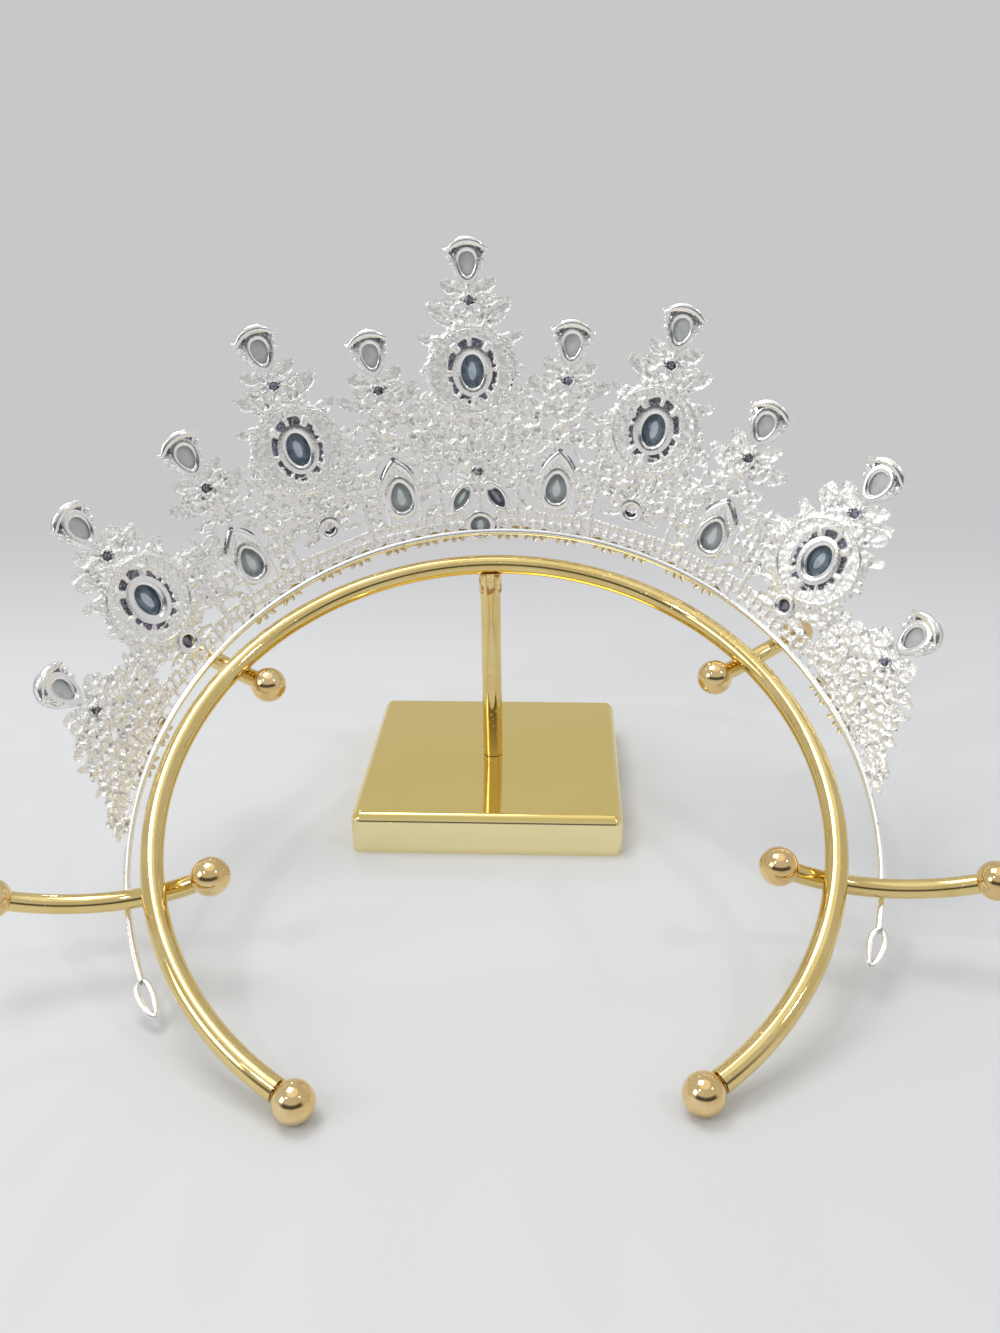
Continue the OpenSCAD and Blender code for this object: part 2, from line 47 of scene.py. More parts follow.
class Tone:
    """One socket of a finish or of the sky. Sums and products of tones add Math nodes."""

    def __init__(self, tree, socket):
        self.tree = tree
        self.socket = socket

    def node(self, kind, settings, values, output=0):
        """Adds a node, sets its settings first and then its sockets, and wraps one output."""
        added = self.tree.nodes.new(kind)
        for name, value in settings.items():
            setattr(added, name, value)
        for name, value in values.items():
            if isinstance(value, Tone):
                self.tree.links.new(value.socket, added.inputs[name])
            else:
                added.inputs[name].default_value = value
        return Tone(self.tree, added.outputs[output])

    def maths(self, operation, first, second):
        return self.node("ShaderNodeMath", {"operation": operation}, {0: first, 1: second})

    def __add__(self, other):
        return self.maths("ADD", self, other)

    __radd__ = __add__

    def __sub__(self, other):
        return self.maths("SUBTRACT", self, other)

    def __rsub__(self, other):
        return self.maths("SUBTRACT", other, self)

    def __mul__(self, other):
        return self.maths("MULTIPLY", self, other)

    __rmul__ = __mul__

    def along(self, axis):
        """How far this place lies along one axis."""
        return self.node("ShaderNodeSeparateXYZ", {}, {0: self}, axis)

    def ramp(self, start, end, low=0.0, high=1.0):
        """This tone from start to end, spread softly over low to high and held at both."""
        return self.node("ShaderNodeMapRange", {"interpolation_type": "SMOOTHSTEP"},
                         {"Value": self, "From Min": start, "From Max": end, "To Min": low, "To Max": high})

    def between(self, first, second):
        """A colour from first to second as this tone goes from 0 to 1."""
        return self.node("ShaderNodeMix", {"data_type": "RGBA"}, {0: self, 6: first, 7: second}, 2)

    def grain(self, size, detail=2.0, roughness=0.5):
        """Cloudy noise over this place, with lumps of about this size in metres."""
        return self.node("ShaderNodeTexNoise", {},
                         {"Vector": self, "Scale": 1 / size, "Detail": detail, "Roughness": roughness})

    def bumped(self, depth, strength):
        """The normal of a surface that this tone raises by up to this depth in metres."""
        return self.node("ShaderNodeBump", {}, {"Height": self, "Distance": depth, "Strength": strength})

    def into(self, socket):
        self.tree.links.new(self.socket, socket)


def new_finish(name, **fixed):
    """A finish with its fixed sockets set: the material, its shader and the piece's own place."""
    material = bpy.data.materials.new(name)
    material.use_nodes = True
    shader = material.node_tree.nodes["Principled BSDF"]
    for socket, value in fixed.items():
        shader.inputs[socket.replace("_", " ")].default_value = value
    coordinates = material.node_tree.nodes.new("ShaderNodeTexCoord")
    return material, shader.inputs, Tone(material.node_tree, coordinates.outputs["Object"])


def link(name, data):
    """Puts an object that holds this data in the scene."""
    made = bpy.data.objects.new(name, data)
    bpy.context.scene.collection.objects.link(made)
    return made


scene = bpy.context.scene
scene.view_settings.view_transform = "Standard"

# The place and the focal length were worked out from the foot, the ring and its end balls
photo_height, focal_pixels, sensor = 1333, 1172, 36
yaw, pitch, roll = math.radians(-0.46), math.radians(24.0), math.radians(-0.76)
camera_place = (0.00009, 0.27508, 0.1578)

ahead = Vector((math.sin(yaw) * math.cos(pitch), -math.cos(yaw) * math.cos(pitch), -math.sin(pitch)))
level_right = Vector((-math.cos(yaw), -math.sin(yaw), 0))
level_up = level_right.cross(ahead)
right = math.cos(roll) * level_right + math.sin(roll) * level_up
up = math.cos(roll) * level_up - math.sin(roll) * level_right
facing = Matrix((right, up, -ahead)).transposed().to_4x4()

camera = link("camera", bpy.data.cameras.new("camera"))
camera.data.sensor_width = sensor
camera.data.lens = sensor * focal_pixels / photo_height
camera.data.clip_start = 0.01
camera.matrix_world = Matrix.Translation(camera_place) @ facing
scene.camera = camera

floor_bm = bmesh.new()
bmesh.ops.create_grid(floor_bm, x_segments=1, y_segments=1, size=20)
floor_mesh = bpy.data.meshes.new("floor")
floor_bm.to_mesh(floor_mesh)
floor_bm.free()
floor = link("floor", floor_mesh)
floor_finish, shader, place = new_finish("pale_slab", Roughness=0.55, Specular_IOR_Level=0.25)
reach = place.node("ShaderNodeVectorMath", {"operation": "LENGTH"}, {0: place}, "Value")
# The floor is painted darker farther from the middle: a painted falloff of the lamps' light.
reach.ramp(0.08, 0.6).between((0.76, 0.775, 0.795, 1), (0.66, 0.655, 0.67, 1)).into(shader["Base Color"])
# It fades out far away all round and close behind the foot, so that no horizon shows
(reach.ramp(0.3, 1.1, 1.0, 0.0) * place.along("Y").ramp(-0.26, -0.03)).into(shader["Alpha"])
floor_mesh.materials.append(floor_finish)

world = bpy.data.worlds.new("sky")
world.use_nodes = True
scene.world = world
tree = world.node_tree
direction = Tone(tree, tree.nodes.new("ShaderNodeTexCoord").outputs["Generated"])
height, depth = direction.along("Z"), direction.along("Y")
walls = depth.ramp(-0.3, 0.3, 0.60, 0.62)
ceiling = height.ramp(0.86, 0.97, 1.0, 2.0)
low_band = height.ramp(0.03, 0.14) * height.ramp(0.34, 0.52, 1.0, 0.0) * depth.ramp(0.35, 0.7)
glow = walls * ceiling * (1 - 0.85 * low_band)
mirrored = glow.between((0, 0, 0, 1), (1.0, 0.995, 0.985, 1))
seen = direction.node("ShaderNodeLightPath", {}, {}, "Is Camera Ray")
sky = tree.nodes["Background"].inputs
seen.between(mirrored, (0.58, 0.577, 0.588, 1)).into(sky["Color"])

lit_place = Vector((0, 0.04, 0.05))
for name, place, size, power, colour in (
    ("roof_softbox", (0.25, -0.1, 0.95), 0.42, 2.1, (1.0, 0.99, 0.97)),
    ("side_softbox", (0.8, 0.45, 0.5), 0.35, 1.2, (0.98, 0.99, 1.0)),
    ("spark_left", (0.45, 0.5, 0.75), 0.05, 0.5, (1, 1, 1)),
    ("spark_right", (-0.55, 0.35, 0.7), 0.05, 0.4, (1, 1, 1)),
    ("spark_front", (0.2, -0.7, 0.6), 0.05, 0.4, (1, 1, 1)),
):
    lamp = link(name, bpy.data.lights.new(name, "AREA"))
    lamp.data.size = size
    lamp.data.energy = power
    lamp.data.color = colour
    aim = (lit_place - Vector(place)).to_track_quat("-Z", "Y")
    lamp.matrix_world = Matrix.Translation(place) @ aim.to_matrix().to_4x4()


# The foot: a heavy square block of polished pale gold plate with rounded corners and a
# bevelled top, its edges eased by the polishing. It is screwed to the post from below and
# turned a little on it.

MM = 0.001
base_side, base_height, base_corner, base_turn = 66, 10.4, 2.4, -3.6
base_bevel, edge_ease = 1.6, 0.6

mirror_gold, shader, place = new_finish("mirror_gold", Metallic=1.0)
top_tint = place.grain(0.03, 1.0).ramp(0.35, 0.65).between((0.87, 0.70, 0.25, 1), (0.90, 0.71, 0.27, 1))
# The sides are painted paler than the top, up to the middle of the bevel: a painted reflection of
# the bright floor in front of them.
up_the_side = place.along("Z").ramp(0.0086, 0.0096)
up_the_side.between((0.93, 0.82, 0.47, 1), top_tint).into(shader["Base Color"])
dulled = place.grain(0.004, 3.0, 0.6).ramp(0.45, 0.75)
(0.045 + dulled * 0.03).into(shader["Roughness"])
place.grain(0.009, 1.0).bumped(0.00002, 0.3).into(shader["Normal"])


def turned(angle, axis):
    return Matrix.Rotation(math.radians(angle), 4, axis)


def bevelled(bm, edges, width, segments):
    bmesh.ops.bevel(bm, geom=edges, offset=width, segments=segments, profile=0.5,
                    affect="EDGES", material=-1)


def finished(name, bm, place, finishes, slot_name, *stands_for, soft_angle=0.6):
    """Puts a piece made in millimetres in its place, smooths it up to an angle, hangs it under the root and
    hides the solids it stands for.
    """
    bmesh.ops.recalc_face_normals(bm, faces=bm.faces)
    bmesh.ops.transform(bm, matrix=Matrix.Scale(MM, 4) @ place, verts=bm.verts)
    if place.determinant() < 0:
        bmesh.ops.reverse_faces(bm, faces=bm.faces)
    for face in bm.faces:
        face.smooth = True
    for edge in bm.edges:
        edge.smooth = len(edge.link_faces) != 2 or edge.calc_face_angle(0) < soft_angle
    mesh = bpy.data.meshes.new(name)
    bm.to_mesh(mesh)
    bm.free()
    for finish in finishes:
        mesh.materials.append(finish)
    piece = link(name, mesh)
    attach(piece, "root")
    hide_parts(*stands_for)


bm = bmesh.new()
block = Matrix.Diagonal((base_side, base_side, base_height, 1))
bmesh.ops.create_cube(bm, matrix=Matrix.Translation((0, 0, base_height / 2)) @ block)
bevelled(bm, [e for e in bm.edges if abs(e.verts[0].co.z - e.verts[1].co.z) > 1], base_corner, 8)
bevelled(bm, [e for e in bm.edges if all(v.co.z > base_height - 0.01 for v in e.verts)], base_bevel, 1)
upper = [e for e in bm.edges if all(v.co.z > base_height / 2 for v in e.verts)]
bevelled(bm, [e for e in upper if e.calc_face_angle(0) > 0.5], edge_ease, 6)
finished("foot", bm, turned(base_turn, "Z"), [mirror_gold], "gold_plate", "base")


# The post: a drawn rod in the same pale gold plate, a little less even than the foot. It is
# screwed to the foot at its lower end and brazed into the collar at its upper one.

post_dia, post_foot, post_top = 5, 10.52, 55.88

gold, shader, place = new_finish("yellow_gold", Metallic=1.0)
pits = place.grain(0.0007).ramp(0.66, 0.74)
scuffs = place.grain(0.0018, 3.0, 0.6)
warmth = place.grain(0.012).ramp(0.35, 0.65)
warmth.between((0.77, 0.59, 0.24, 1), (0.83, 0.655, 0.30, 1)).into(shader["Base Color"])
(0.06 + scuffs.ramp(0.45, 0.7, 0.0, 0.06) + pits * 0.2).into(shader["Roughness"])
(scuffs * 0.3 - pits).bumped(0.00003, 0.6).into(shader["Normal"])

bm = bmesh.new()
bmesh.ops.create_cone(bm, cap_ends=True, segments=64, radius1=post_dia / 2, radius2=post_dia / 2,
                      depth=post_top - post_foot,
                      matrix=Matrix.Translation((0, 0, (post_foot + post_top) / 2)))
finished("post_rod", bm, Matrix(), [gold], "gold_plate", "post")


# The collar keeps the shape of its solid: a short sleeve on top of the post, cut to the round
# of the ring. It is brazed on, and the heat left brown stains in its gold plate.

stained_gold, shader, place = new_finish("stained_gold", Metallic=1.0)
stains = place.grain(0.0016, 4.0, 0.6).ramp(0.5, 0.6)
stains.between((0.86, 0.68, 0.33, 1), (0.50, 0.25, 0.08, 1)).into(shader["Base Color"])
(0.1 + stains * 0.2).into(shader["Roughness"])
stains.bumped(0.00003, 0.5).into(shader["Normal"])
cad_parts["collar"].data.materials.clear()
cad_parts["collar"].data.materials.append(stained_gold)


# The ring: a big open hoop of tube, leaning down to the back, that ends in two turned balls
# standing on the floor. Tube and balls are polished and gold plated, the balls a little
# browner. A thin neck shows where each ball is screwed on.

ring_middle, ring_lean = (0, 62.9364, 31.2312), -26.7836
ring_radius, ring_tube, ring_end, ball_dia = 70.5, 4.7, 149, 8
# In degrees: how far from a ball's middle the tube stops and its neck starts, and the neck's length
tube_stop, neck_start, neck_turn, neck_share = 3.0, 2.0, 1.5, 0.7
SIDES = ((1, "_left"), (-1, "_right"))

ball_gold, shader, place = new_finish("ball_gold", Metallic=1.0)
scuffs = place.grain(0.0012)
browned = place.grain(0.006).ramp(0.4, 0.6)
browned.between((0.81, 0.585, 0.27, 1), (0.88, 0.68, 0.36, 1)).into(shader["Base Color"])
(0.05 + scuffs.ramp(0.5, 0.75, 0.0, 0.1)).into(shader["Roughness"])
scuffs.bumped(0.00002, 0.5).into(shader["Normal"])


def out_at(radius, angle):
    """A place this far out from the Z axis, turned round it from the -Y side."""
    return turned(angle, "Z") @ Matrix.Translation((0, -radius, 0))


def bent_tube(bm, radius, tube, start, turn, steps):
    """A round bar of this thickness, bent round the Z axis."""
    section = turned(start, "Z") @ Matrix.Translation((radius, 0, 0)) @ turned(90, "X")
    end = bmesh.ops.create_circle(bm, cap_ends=True, segments=32, radius=tube / 2, matrix=section)
    bmesh.ops.spin(bm, geom=end["verts"][0].link_faces[:], cent=(0, 0, 0), axis=(0, 0, 1),
                   angle=math.radians(turn), steps=steps, use_merge=False)


def ball(bm, place, diameter):
    bmesh.ops.create_uvsphere(bm, u_segments=48, v_segments=32, radius=diameter / 2, matrix=place)


ring_frame = Matrix.Translation(ring_middle) @ turned(ring_lean, "X")
bm = bmesh.new()
bent_tube(bm, ring_radius, ring_tube, -90 - ring_end + tube_stop, 2 * (ring_end - tube_stop), 220)
for start in (-90 - ring_end + neck_start, -90 + ring_end - neck_start - neck_turn):
    bent_tube(bm, ring_radius, neck_share * ring_tube, start, neck_turn, 2)
finished("ring_hoop", bm, ring_frame, [gold], "gold_plate", "ring")

for side, end in SIDES:
    bm = bmesh.new()
    ball(bm, out_at(ring_radius, side * ring_end), ball_dia)
    finished("ring_end_ball" + end, bm, ring_frame, [ball_gold], "gold_plate", "ring_ball" + end)


# The four arms: bent rods in the same gold plate, brazed across the underside of the ring, with
# a ball screwed on each end. The short front pair carries the band, and the long rear pair
# hooks over its ends.

arm_dia, joint_gap = 4, 0.12

# Each pair: its turn along the ring, length, sag, reach inside the ring and skew
for name, angle, length, sag, inner, skew in (
    ("front_arm", 55, 25, 0.9, 7.2, 3),
    ("rear_arm", 103.5, 43, 6, 11.5, -8),
):
    radius = (length ** 2 / 4 + sag ** 2) / (2 * sag)
    half = math.degrees(math.asin(length / 2 / radius))
    middle = inner - length / 2
    rise = math.sqrt((radius - ring_tube / 2 - arm_dia / 2 - joint_gap) ** 2 - middle ** 2)
    for side, end in SIDES:
        place = (ring_frame @ out_at(ring_radius, side * angle) @ turned(side * skew, "Z")
                 @ turned(90, "X") @ turned(-90, "Y") @ Matrix.Translation((-middle, rise, 0)))
        bm = bmesh.new()
        bent_tube(bm, radius, arm_dia, -90 - half, 2 * half, 48)
        for turn in (-half, half):
            before = len(bm.faces)
            ball(bm, out_at(radius, turn), ball_dia)
            bm.faces.ensure_lookup_table()
            for face in bm.faces[before:]:
                face.material_index = 1
        finished("bent_" + name + end, bm, place, [gold, ball_gold], "gold_plate", name + end)


# The band: one silver-plated wire that runs along the foot of the castings, soldered to
# them, and ends on each side in a long eye bent from the wire itself.

band_radius, wire_dia, band_reach, wire_stop = 79.5, 1.6, 117, 5.6
band_shift, band_tilt, band_turn = (-2, 0, -6.57055), -7.01943, 3
eye_width, eye_length, eye_wire = 2.8, 7.9, 0.76
band_frame = ring_frame @ Matrix.Translation(band_shift) @ turned(band_tilt, "X") @ turned(band_turn, "Z")

bright_silver, shader, place = new_finish("bright_silver", Metallic=1.0)
grain = place.grain(0.0006, 3.0, 0.6)
specks = place.grain(0.0009).ramp(0.66, 0.74)
specks.between((0.98, 0.98, 0.97, 1), (0.55, 0.54, 0.55, 1)).into(shader["Base Color"])
(0.12 + grain.ramp(0.4, 0.7, 0.0, 0.12)).into(shader["Roughness"])
grain.bumped(0.00005, 0.6).into(shader["Normal"])


def bar_frame(points, index):
    """Where a bar's round section stands at one of its points, square to its run."""
    run = (points[min(index + 1, len(points) - 1)] - points[max(index - 1, 0)]).normalized()
    side = run.cross(Vector((0, 0, 1))).normalized()
    return Matrix.Translation(points[index]) @ Matrix((side, run.cross(side), run)).transposed().to_4x4()


def bar(bm, points, radii, sides=8):
    """A round bar swept along points, with one radius for all or its own at each."""
    points = [Vector(p) for p in points]
    if not isinstance(radii, (list, tuple)):
        radii = [radii] * len(points)
    places = [bar_frame(points, i) @ Matrix.Diagonal((r, r, 1, 1)) for i, r in enumerate(radii)]
    made = bmesh.ops.create_circle(bm, cap_ends=True, segments=sides, radius=1, matrix=places[0])
    face = made["verts"][0].link_faces[0]
    for before, after in zip(places, places[1:]):
        made = bmesh.ops.extrude_face_region(bm, geom=[face])["geom"]
        face = next(g for g in made if isinstance(g, bmesh.types.BMFace))
        bmesh.ops.transform(bm, matrix=after @ before.inverted(), verts=face.verts)


bm = bmesh.new()
bent_tube(bm, band_radius, wire_dia, -90 - band_reach + wire_stop, 2 * (band_reach - wire_stop), 260)
for side, _ in SIDES:
    wire_end = out_at(band_radius, side * band_reach) @ turned(side * 90, "Z")
    eye = []
    for step in range(25):
        t = math.radians(15 * step)
        x = eye_width / 2 * math.sin(t) * (1 - 0.25 * math.cos(t))
        eye.append(wire_end @ Vector((x, eye_length / 2 * (1 - math.cos(t)), 0)))
    bar(bm, eye, eye_wire, 12)
finished("band_wire", bm, band_frame, [bright_silver], "silver_plate", "silver_frame")


# The castings: eleven pierced leaves of silver-plated alloy and two low tails, cast with their
# settings and soldered side by side on the wire. Their backs are cups, scrolls and beads with a
# rough cast grain. Caps, collars and rims are smoother. The deep recesses are painted dark as
# shade, with painted glints and a painted violet reflection, and the hollows of the grain are painted dark
# as shade too.

cast_radius, flare, cast_thick = 80.7868, 39, 1.6
wire_place, rail_height = -0.81, 4.4
stone_gap, bezel, bezel_height = 0.12, 0.8, 1.7
tip_size, oval_size, low_size, marquise_size = (6.6, 9.2), (7, 9.2), (6.6, 9.4), (3.4, 7.6)
round_dia, small_dia = 6, 4.4
halo_radius = 11.4

# A casting's turn along the band and the heights of its top stone, halo and lower stone. Then
# the turns from its middle to the seam before it and the seam after it
Casting = namedtuple("Casting", "name kind angle tip halo low before after")
CASTINGS = [
    Casting("centre", "centre", 0, 62.6, 38.19, 0.63, 6.344, 6.344),
    Casting("inner_small", "small", 12.69, 44.76, 0, 10.52, 6.344, 6.344),
    Casting("inner_large", "large", 25.375, 52.58, 28.92, 8.76, 6.344, 6.8875),
    Casting("outer_small", "small", 39.15, 38.81, 0, 10.52, 6.8875, 7.975),
    Casting("outer_large", "large", 55.1, 41.0, 19.53, 6.26, 7.975, 8.7),
    Casting("end", "end", 72.5, 23.48, 0, 0, 8.7, 6.5),
    Casting("tail", "tail", 85.5, 0, 0, 0, 6.5, 2.2),
]
# Lace at the seam after each casting: its lower edge, its top on the seam and its top at the neck
SEAM_LACE = [(11.9, 32.6, 31.3), (10.6, 28.2, 29.4), (10.0, 25.0, 26.3),
             (8.1, 20.7, 22.5), (8.1, 13.1, 15.0)]
# How far from its middle a casting has a leafy drop under the wire on each side
DROPS = {"centre": 6.8, "inner_small": 4, "inner_large": 4, "outer_small": 4, "end": 4}
# Foot and top of each leafy sprig of the low end castings
SPRIGS = {
    "end": [((-6, 1), (-12.2, 11.2)), ((-4.5, 1), (-9.0, 15.0)), ((-2.5, 2), (-5.4, 16.6)),
            ((0, 2), (-0.5, 16.5)), ((2, 2), (4.0, 17.6)), ((4.5, 1), (8.0, 14.6)),
            ((7, 1), (10.0, 9.4)), ((-7.5, 1), (-11.4, 6.6))],
    "tail": [((-8, 1), (-8.4, 10.8)), ((-5.6, 1), (-5.6, 7.2)), ((-3, 1), (-2.4, 4.4)),
             ((-0.5, 0), (1.8, 1.8))],
}

cast_silver, shader, place = new_finish("cast_silver", Metallic=0.78)
coarse = place.grain(0.0009, 3.0, 0.65)
fine = place.grain(0.00035, 2.0, 0.6)
specks = place.grain(0.0007, 3.0, 0.7).ramp(0.64, 0.69)
hollow = place.node("ShaderNodeAttribute", {"attribute_name": "hollow"}, {}, "Fac")
# Painted shade: the hollows of the casting are painted dark grey in cloudy patches, the deeper the darker.
deep = hollow.ramp(0.25, 1.0) * place.grain(0.002).ramp(0.36, 0.6, 0.2, 1.0)
silver = specks.between((0.99, 0.985, 0.97, 1), (0.30, 0.29, 0.33, 1))
deep.between(silver, (0.17, 0.165, 0.19, 1)).into(shader["Base Color"])
(0.2 + coarse.ramp(0.35, 0.7, 0.0, 0.2) + hollow * 0.1).into(shader["Roughness"])
(coarse + fine * 0.5).bumped(0.0002, 0.75).into(shader["Normal"])

# Metal painted dark as the shade in recesses, under caps and behind slots. Its bright grains are painted
# glints, and its violet tint is a painted reflection of the stones.
dark_recess, shader, place = new_finish("dark_recess", Metallic=0.8)
glints = place.grain(0.0006, 3.0, 0.7).ramp(0.5, 0.6)
tint = place.grain(0.004, 1.0).ramp(0.5, 0.58).between((0.12, 0.115, 0.14, 1), (0.20, 0.17, 0.29, 1))
glints.between(tint, (0.55, 0.54, 0.60, 1)).into(shader["Base Color"])
(0.2 + glints * 0.3).into(shader["Roughness"])
glints.bumped(0.0001, 0.8).into(shader["Normal"])

# Silver painted gold in patches: a painted reflection of the gold ring below.
warm_silver, shader, place = new_finish("warm_silver", Metallic=1.0)
coarse = place.grain(0.0009, 3.0, 0.65)
coarse.ramp(0.4, 0.6).between((0.82, 0.65, 0.32, 1), (0.96, 0.90, 0.73, 1)).into(shader["Base Color"])
(0.18 + coarse.ramp(0.35, 0.7, 0.0, 0.25)).into(shader["Roughness"])
coarse.bumped(0.0002, 0.8).into(shader["Normal"])


def at(x, y, z=0.0, turn=0.0):
    """A place on a casting, turned in the casting's plane."""
    return Matrix.Translation((x, y, z)) @ turned(turn, "Z")


def low_pear_at(casting):
    return at(0, casting.low, 0, 180)


def marquise_at(side):
    return at(side * 4.26, 7.83, 0, side * 34)


def casting_frame(casting, side):
    """Where one casting stands: x along the band, y up its slope and z out of its front."""
    where = band_frame @ out_at(cast_radius, side * casting.angle)
    return where @ turned(90 + flare, "X") @ Matrix.Diagonal((side, 1, 1, 1))


def sides_of(casting):
    """The centre casting stands alone, and the others are on both sides."""
    return SIDES if casting.angle else ((1, ""),)


def seam_x(half_angle, height):
    """How far a seam lies from a casting's axis at this height up its slope."""
    return (cast_radius + height * math.sin(math.radians(flare))) * math.tan(math.radians(half_angle))


def flank(casting, height):
    """How far the halo, arch or neck of a casting reaches from its axis at this height."""
    if casting.halo:
        return max(2.4, math.sqrt(max(0, halo_radius ** 2 - (height - casting.halo) ** 2)) - 0.6)
    return 6.2 if casting.kind == "small" and height < casting.low + 8.6 else 2.2


# Outlines round a stone or an opening, from its lowest point towards +x

def turns(n):
    return [2 * math.pi * i / n for i in range(n)]


def oval(w, h, n=32):
    return [(w / 2 * math.sin(t), -h / 2 * math.cos(t)) for t in turns(n)]


def egg(w, h, n=32):
    return [(w / 2 * math.sin(t) * (1 - 0.2 * math.cos(t)), -h / 2 * math.cos(t)) for t in turns(n)]


def pear(w, h, n=32):
    return [(0.625 * w * math.sin(t) * math.sin(t / 2) ** 0.8, -h / 2 * math.cos(t)) for t in turns(n)]


def marquise(w, h, n=32):
    return [(math.copysign(w / 2 * abs(math.sin(t)) ** 1.35, math.sin(t)), -h / 2 * math.cos(t))
            for t in turns(n)]


def halo_line(radius):
    return oval(2 * radius, 2 * radius, 48)


def slot_line(more):
    """The outer edge of the dark slots round a halo's collar, or a line this much wider."""
    return oval(11.7 + more, 15.4 + more, 48)


def on_oval(middle, wide, high, t):
    """A point of an oval round the axis, turned by t from straight up towards +x."""
    return wide * math.sin(t), middle + high * math.cos(t)


def arc(cx, cy, radius, start, end, steps, z):
    """Points of an arc, with turns counted from straight up towards +x."""
    spread = [math.radians(start + (end - start) * i / steps) for i in range(steps + 1)]
    return [(cx + radius * math.sin(t), cy + radius * math.cos(t), z) for t in spread]


def outline(bm, points, place, z):
    """A closed line of edges through the points."""
    verts = [bm.verts.new(place @ Vector((x, y, z))) for x, y in points]
    return verts, [bm.edges.new(pair) for pair in zip(verts, verts[1:] + verts[:1])]


def drawn_on(bm, verts, edges, points, place, z):
    """Extrudes a closed line of edges and moves each new point to the next outline."""
    made = bmesh.ops.extrude_edge_only(bm, edges=edges)["geom"]
    fresh = {g for g in made if isinstance(g, bmesh.types.BMVert)}
    verts = [next(e.other_vert(v) for e in v.link_edges if e.other_vert(v) in fresh) for v in verts]
    for vert, (x, y) in zip(verts, points):
        vert.co = place @ Vector((x, y, z))
    edges = [g for g in made if isinstance(g, bmesh.types.BMEdge) and all(v in fresh for v in g.verts)]
    return verts, edges, [g for g in made if isinstance(g, bmesh.types.BMFace)]


def wall(bm, place, loops):
    """A closed wall through several outlines, each at its own height."""
    first, edges = outline(bm, loops[0][0], place, loops[0][1])
    verts = first
    for points, z in loops[1:] + loops[:1]:
        verts, edges, _ = drawn_on(bm, verts, edges, points, place, z)
    bmesh.ops.remove_doubles(bm, verts=first + verts, dist=1e-4)


def setting(bm, shape, size, place, hole, back=0.0):
    """The wall that holds a stone, and the broad smooth lip at its back round an open hole."""
    w, h = size
    hole_shape, hole_w, hole_h = hole
    front = cast_thick / 2 + bezel_height
    inside, outside = 2 * stone_gap, 2 * (stone_gap + bezel)
    rim_w, rim_h = w + 2 * (stone_gap + bezel - back), h + 2 * (stone_gap + bezel - back)
    lip = [
        (hole_w, hole_h, -0.3), (hole_w, hole_h, -0.62), (hole_w + 0.35, hole_h + 0.35, -0.86),
        ((rim_w + hole_w) / 2, (rim_h + hole_h) / 2, -0.98), (rim_w - 0.3, rim_h - 0.3, -0.86),
        (rim_w, rim_h, -0.55), (rim_w, rim_h, -0.1),
    ]
    sheath = [(outside, 0.1), (outside, front - 0.2), (1.5, front), (0.5, front),
              (inside, front - 0.2), (inside, 0.05)]
    wall(bm, place, [(hole_shape(x, y), z) for x, y, z in lip]
         + [(shape(w + more, h + more), z) for more, z in sheath])


def plate(bm, points, place, back, thick):
    """A flat plate of this outline. Its back and front faces come back to be worked on."""
    face = bmesh.ops.contextual_create(bm, geom=outline(bm, points, place, back)[1])["faces"][0]
    made = bmesh.ops.extrude_face_region(bm, geom=[face])["geom"]
    front = next(g for g in made if isinstance(g, bmesh.types.BMFace))
    bmesh.ops.translate(bm, verts=front.verts, vec=place.to_3x3() @ Vector((0, 0, thick)))
    return face, front


def leaf(bm, place, length, width, thick=1.5, rim=0.4, hollow=0.7, blunt=0.3):
    """A cupped leaf that points up from its root, hollow at the back with a raised rim."""
    points = [(math.copysign(width / 2 * abs(math.sin(t)) ** (1.25 - blunt), math.sin(t)),
               length / 2 * (1 - math.cos(t) * (1 - 0.08 * abs(math.sin(t))))) for t in turns(14)]
    face, front = plate(bm, points, place, -thick / 2, thick)
    bmesh.ops.scale(bm, verts=front.verts, vec=(0.8, 0.9, 1), space=place.inverted())
    bmesh.ops.inset_region(bm, faces=[face], thickness=rim, use_even_offset=True)
    bmesh.ops.translate(bm, verts=face.verts, vec=place.to_3x3() @ Vector((0, 0, hollow)))


def bead(bm, x, y, z, radius):
    """A cast grain of metal. The small ones have only twenty faces."""
    bmesh.ops.create_icosphere(bm, subdivisions=1 if radius < 0.7 else 2, radius=radius,
                               matrix=Matrix.Translation((x, y, z)))


def hoop(bm, x, y, radius, thick, z=0.0, steps=12):
    bar(bm, arc(x, y, radius, 0, 360 + 180 / steps, steps, z), thick, 6)


def fan(bm, foot, length, spread, count):
    """Leaves spread from one foot, the outer ones a little longer."""
    for i in range(count):
        share = 2 * i / (count - 1) - 1
        leaf(bm, at(0, foot, 0, -spread * share), length * (1 + 0.16 * share ** 2), 0.18 * length + 1.2,
             rim=0.36)


